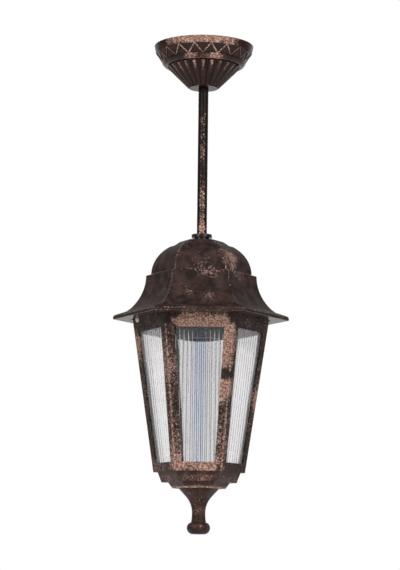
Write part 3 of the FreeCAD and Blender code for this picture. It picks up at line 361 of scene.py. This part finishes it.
def plated_metal(name, tone, dull, grain_mm, roughness):
    """Plated or bare metal: one tone with dull clouds, and a fine grain that spreads its gloss."""
    material, tree, place = new_material(name)
    clouds = add(tree, "ShaderNodeTexNoise", {"Vector": place, "Scale": per(7), "Detail": 3.0})
    grain = add(tree, "ShaderNodeTexNoise", {"Vector": place, "Scale": per(grain_mm)})
    dulled = add(tree, "ShaderNodeMapRange", {0: clouds, 1: 0.35, 2: 0.7}, **SMOOTH)
    spread = {0: grain, 1: 0.3, 2: 0.7, 3: roughness - 0.08, 4: roughness + 0.08}
    shader = add(
        tree,
        "ShaderNodeBsdfPrincipled",
        {
            "Base Color": add(tree, "ShaderNodeMix", {0: dulled, 6: linear(tone), 7: linear(dull)}, **COLOUR),
            "Metallic": 1.0,
            "Roughness": add(tree, "ShaderNodeMapRange", spread),
            "Normal": add(tree, "ShaderNodeBump", {"Height": grain, "Strength": 0.2, "Distance": 0.05 * MM}),
        },
    )
    add(tree, "ShaderNodeOutputMaterial", {"Surface": shader})
    return material


def moulded(name, tone, worn, roughness, grain_mm=0.6):
    """A moulded, fired or painted piece: an even colour a little faded in places, with a fine grain."""
    material, tree, place = new_material(name)
    fade = add(tree, "ShaderNodeTexNoise", {"Vector": place, "Scale": per(12), "Detail": 3.0})
    grain = add(tree, "ShaderNodeTexNoise", {"Vector": place, "Scale": per(grain_mm)})
    faded = add(tree, "ShaderNodeMapRange", {0: fade, 1: 0.4, 2: 0.75}, **SMOOTH)
    spread = {0: fade, 1: 0.3, 2: 0.7, 3: roughness - 0.06, 4: roughness + 0.06}
    shader = add(
        tree,
        "ShaderNodeBsdfPrincipled",
        {
            "Base Color": add(tree, "ShaderNodeMix", {0: faded, 6: linear(tone), 7: linear(worn)}, **COLOUR),
            "Roughness": add(tree, "ShaderNodeMapRange", spread),
            "Normal": add(tree, "ShaderNodeBump", {"Height": grain, "Strength": 0.25, "Distance": 0.06 * MM}),
        },
    )
    add(tree, "ShaderNodeOutputMaterial", {"Surface": shader})
    return material


def outer_edges(name, bands):
    """Nodes that mark, for rounding, the sharp edges in bands such as ROOF_EDGES, and crease the rest."""
    tree = bpy.data.node_groups.new(name, "GeometryNodeTree")
    for way in ("INPUT", "OUTPUT"):
        tree.interface.new_socket("Geometry", in_out=way, socket_type="NodeSocketGeometry")
    shape = add(tree, "NodeGroupInput")
    place = add(tree, "GeometryNodeInputPosition")
    height = add(tree, "ShaderNodeSeparateXYZ", {0: place}).outputs["Z"]
    radius = from_axis(tree, place)
    bend = add(tree, "GeometryNodeInputMeshEdgeAngle").outputs["Unsigned Angle"]
    sharp = add(tree, "ShaderNodeMath", {0: bend, 1: SHARP_BEND}, operation="GREATER_THAN")
    marks = 0.0
    for low, high, least in bands:
        mark = sharp
        for value, limit, test in (
            (height, low, "GREATER_THAN"),
            (height, high, "LESS_THAN"),
            (radius, least, "GREATER_THAN"),
        ):
            met = add(tree, "ShaderNodeMath", {0: value, 1: limit * MM}, operation=test)
            mark = add(tree, "ShaderNodeMath", {0: mark, 1: met}, operation="MULTIPLY")
        marks = add(tree, "ShaderNodeMath", {0: marks, 1: mark}, operation="ADD")
    marked = add(
        tree,
        "GeometryNodeStoreNamedAttribute",
        {"Geometry": shape, "Name": "bevel_weight_edge", "Value": marks},
        data_type="FLOAT",
        domain="EDGE",
    )
    left = add(tree, "ShaderNodeMath", {0: sharp, 1: marks}, operation="SUBTRACT")
    creased = add(tree, "GeometryNodeSetShadeSmooth", {0: marked, 1: left, 2: False}, domain="EDGE")
    add(tree, "NodeGroupOutput", {0: creased})
    return tree


def soften(node, width, bands, edge_finish):
    """Round a casting's outer edges by some millimetres, as its mould did, with copper rubbed onto them."""
    node.data.materials.append(edge_finish)
    weld = node.modifiers.new("joined", "WELD")
    weld.merge_threshold = 0.01 * MM
    marking = node.modifiers.new("outer_edges", "NODES")
    marking.node_group = outer_edges(f"{node.name}_outer_edges", bands)
    edge = node.modifiers.new("cast_edges", "BEVEL")
    edge.limit_method = "WEIGHT"
    edge.width = width * MM
    edge.segments = 2
    edge.use_clamp_overlap = False
    edge.material = 1
    shading = node.modifiers.new("even_shading", "WEIGHTED_NORMAL")
    shading.keep_sharp = True


def studio():
    """White surroundings, a pale floor and two soft lights in front."""
    # How bright the surroundings are to the eye, through the panes, as diffuse light, and in the enamel's
    # mirror, which shows a dim room in front and a white wall behind
    to_eye, through_glass, diffuse = 1.0, 1.15, 0.5
    room, wall, wall_starts, wall_full = 0.2, 1.0, 0.6, 0.95
    out, front, up = 1.2, -1.5, 0.55
    lantern_middle = Vector((0, 0, -0.28))
    scene = bpy.context.scene
    scene.view_settings.view_transform = "Standard"
    world = bpy.data.worlds.new("white_studio")
    world.use_nodes = True
    tree = world.node_tree
    tree.nodes.clear()
    rays = add(tree, "ShaderNodeLightPath")
    facing = add(tree, "ShaderNodeSeparateXYZ", {0: add(tree, "ShaderNodeTexCoord").outputs["Generated"]})
    depth = {0: facing.outputs["Y"], 1: wall_starts, 2: wall_full, 3: room, 4: wall}
    mirrored = add(tree, "ShaderNodeMapRange", depth, **SMOOTH)
    lit = add(tree, "ShaderNodeMix", {0: rays.outputs["Is Glossy Ray"], 2: diffuse, 3: mirrored})
    through = add(tree, "ShaderNodeMix", {0: rays.outputs["Is Transmission Ray"], 2: lit, 3: through_glass})
    strength = add(tree, "ShaderNodeMix", {0: rays.outputs["Is Camera Ray"], 2: through, 3: to_eye})
    background = add(tree, "ShaderNodeBackground", {"Color": linear("#ffffff"), "Strength": strength})
    add(tree, "ShaderNodeOutputWorld", {"Surface": background})
    scene.world = world

    bpy.ops.object.select_all(action="DESELECT")
    bpy.ops.mesh.primitive_plane_add(size=8.0, location=(0, 0, -0.95))
    floor = bpy.context.object
    floor.name = "floor"
    # Matt paper: an even pale ground with faint fibres
    paper, tree, place = new_material("pale_matt_paper")
    fibre = add(tree, "ShaderNodeTexNoise", {"Vector": place, "Scale": per(40), "Detail": 3.0})
    tone = add(tree, "ShaderNodeMix", {0: fibre, 6: linear("#f6f6f4"), 7: linear("#ededea")}, **COLOUR)
    shader = add(tree, "ShaderNodeBsdfPrincipled", {"Base Color": tone, "Roughness": 0.9})
    add(tree, "ShaderNodeOutputMaterial", {"Surface": shader})
    floor.data.materials.append(paper)

    for side, name in ((-1, "soft_light_left"), (1, "soft_light_right")):
        data = bpy.data.lights.new(name, "AREA")
        data.shape = "RECTANGLE"
        data.size = 0.9
        data.size_y = 1.2
        data.energy = 17
        light = bpy.data.objects.new(name, data)
        scene.collection.objects.link(light)
        light.location = (side * out, front, up)
        aim = lantern_middle - light.location
        light.rotation_euler = aim.to_track_quat("-Z", "Y").to_euler()


def camera():
    """Below the lantern and a little to its right, looking up past its foot."""
    distance = 2.1
    height = -0.5429
    azimuth = math.radians(1.3)
    roll = math.radians(0.67)
    data = bpy.data.cameras.new("camera")
    data.sensor_width = 36.0
    data.lens = 133.96
    view = bpy.data.objects.new("camera", data)
    bpy.context.scene.collection.objects.link(view)
    view.location = (distance * math.sin(azimuth), -distance * math.cos(azimuth), height)
    target = Vector((-0.00125, 0, -0.2440))
    facing = (target - view.location).to_track_quat("-Z", "Y").to_matrix()
    view.rotation_euler = (facing @ Matrix.Rotation(roll, 3, "Z")).to_euler()
    bpy.context.scene.camera = view


finishes = {
    "ceiling_canopy": copper_rubbed_enamel(
        "copper_rubbed_enamel_canopy_front_sheen",
        0.0,
        CANOPY_DABS_AND_SHEEN,
        "#21100d",
        "#361b15",
        grit=0.35,
        satin=0.32,
        line=CANOPY_LINE,
    ),
    "stem_tube": copper_rubbed_enamel(
        "copper_rubbed_enamel_stem_side_shade",
        0.0,
        STEM_DABS,
        "#150e0c",
        "#261a17",
        grit=0.9,
        gloss=0.1,
        satin=0.4,
        side_shade=-0.4,
    ),
    "stem_collar": copper_rubbed_enamel("copper_rubbed_enamel_collar", 0.0),
    "roof": copper_rubbed_enamel(
        "copper_rubbed_enamel_roof", 0.0, ROOF_DABS, "#2a1f1c", "#45342f", grit=0.6, gloss=0.1, satin=0.5
    ),
    "body_frame": copper_rubbed_enamel("copper_rubbed_enamel_body_highlight_and_shade", 0.09, BODY_DABS_AND_SHADE, grit=0.65, corners=0.14),
    "base_cup": copper_rubbed_enamel(
        "copper_rubbed_enamel_base_sheen_and_shade", 0.1, BASE_DABS, "#311c17", "#57352d", grit=0.6, bands=BASE_BANDS_SHEEN_AND_SHADE
    ),
    "finial": copper_rubbed_enamel(
        "copper_rubbed_enamel_finial", 0.0, FINIAL_DABS, "#2a1c18", "#4a322b", grit=0.8, gloss=0.2, satin=0.42
    ),
    "roof_screws": moulded("copper_painted_steel", "#f3ded6", "#dfc2b6", 0.4, 0.4),
    # The front pane: a greyer copy of the same glass, as painted shade, with a painted reflection of a blue
    # sky down its centre
    "pane_front": pressed_fluted_glass("pressed_fluted_glass_front_shade_and_reflection", "#e4e3e4", "#d2dae8"),
}
worn_edges = {
    "roof": copper_rubbed_enamel("copper_worn_edge_roof", 0.1),
    "base_cup": copper_rubbed_enamel("copper_worn_edge_base_sheen_and_shade", 0.1, bands=BASE_BANDS_SHEEN_AND_SHADE),
}
by_slot = {
    "ribbed_glass": pressed_fluted_glass("pressed_fluted_glass", "#fcfbfc", "#fcfbfc", 0.87),
    "zinc_plated_steel": plated_metal("zinc_plated_steel", "#c2c4c6", "#9b9fa3", 0.4, 0.34),
    "nickel_brass": plated_metal("nickel_plated_brass", "#cdb78a", "#a8905f", 0.5, 0.3),
    "black_moulding": moulded("black_phenolic_moulding", "#151312", "#201c1a", 0.32),
    "steatite": moulded("unglazed_steatite", "#d9d3c6", "#c9c1b0", 0.6, 0.4),
    "white_moulding": moulded("white_polyamide", "#e6e4de", "#d8d4c9", 0.5),
    "black_rubber": moulded("black_rubber", "#161616", "#232222", 0.7),
    "brown_insulation": moulded("brown_wire_insulation", "#5b3620", "#6b4630", 0.42),
    "blue_insulation": moulded("blue_wire_insulation", "#27508f", "#355f9b", 0.42),
}
slots = {part["node"]: part["material_slot"] for part in frame["record"]["subparts"]}
for name, node in nodes.items():
    node.data.materials.clear()
    node.data.materials.append(finishes.get(name) or by_slot[slots[name]])

soften(nodes["roof"], 0.7, ROOF_EDGES, worn_edges["roof"])
soften(nodes["base_cup"], 0.6, BASE_EDGES, worn_edges["base_cup"])

studio()
camera()
